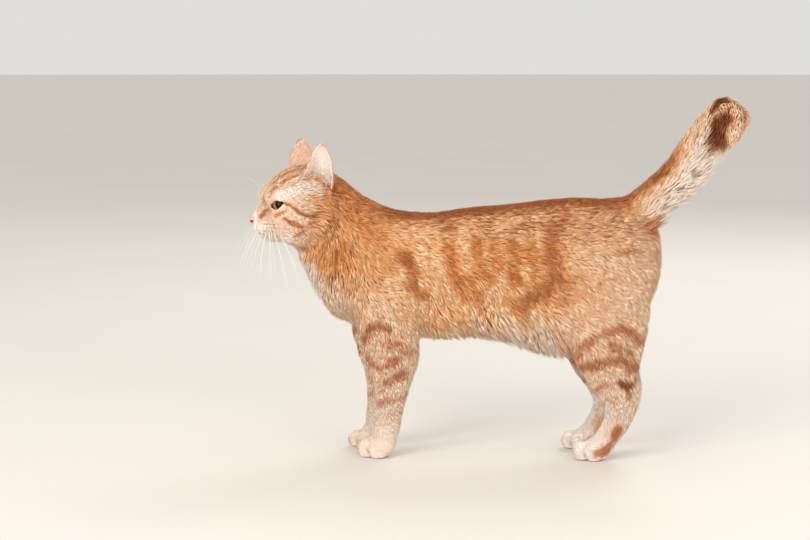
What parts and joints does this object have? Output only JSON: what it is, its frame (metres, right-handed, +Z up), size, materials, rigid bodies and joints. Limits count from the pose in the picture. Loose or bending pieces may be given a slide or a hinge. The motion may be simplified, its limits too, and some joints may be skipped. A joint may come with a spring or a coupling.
{
  "type": "cat",
  "caption": "Life-size still model of a short-haired domestic cat, standing with its tail raised and curled at the tip, for display on a floor or shelf.",
  "frame": {"origin": "the middle of the cat's length and width, on the floor plane between its paws", "axes": "+Z up, the cat looks towards -X, its left side faces -Y, and its tail is raised towards +X"},
  "size_m": [0.4742, 0.0969, 0.3482],
  "materials": {
    "coat": "short ginger tabby fur",
    "white_coat": "short white fur",
    "ear_skin": "thin haired pink skin",
    "eye": "wet and glossy",
    "nose_leather": "matt pink nose leather",
    "whiskers": "smooth white hair"
  },
  "bodies": {
    "root": {"head": "coat", "neck": "coat", "trunk": "coat", "tail_root": "coat", "tail_middle": "coat", "tail_tip": "coat", "front_leg_left": "coat", "front_leg_right": "coat", "front_paw_left": "white_coat", "front_paw_right": "white_coat", "hind_thigh_left": "coat", "hind_thigh_right": "coat", "hind_shank_left": "coat", "hind_shank_right": "coat", "hind_foot_left": "white_coat", "hind_foot_right": "white_coat", "hind_paw_left": "white_coat", "hind_paw_right": "white_coat", "ear_left": "ear_skin", "ear_right": "ear_skin", "eye_left": "eye", "eye_right": "eye", "nose": "nose_leather"}
  },
  "joints": []
}
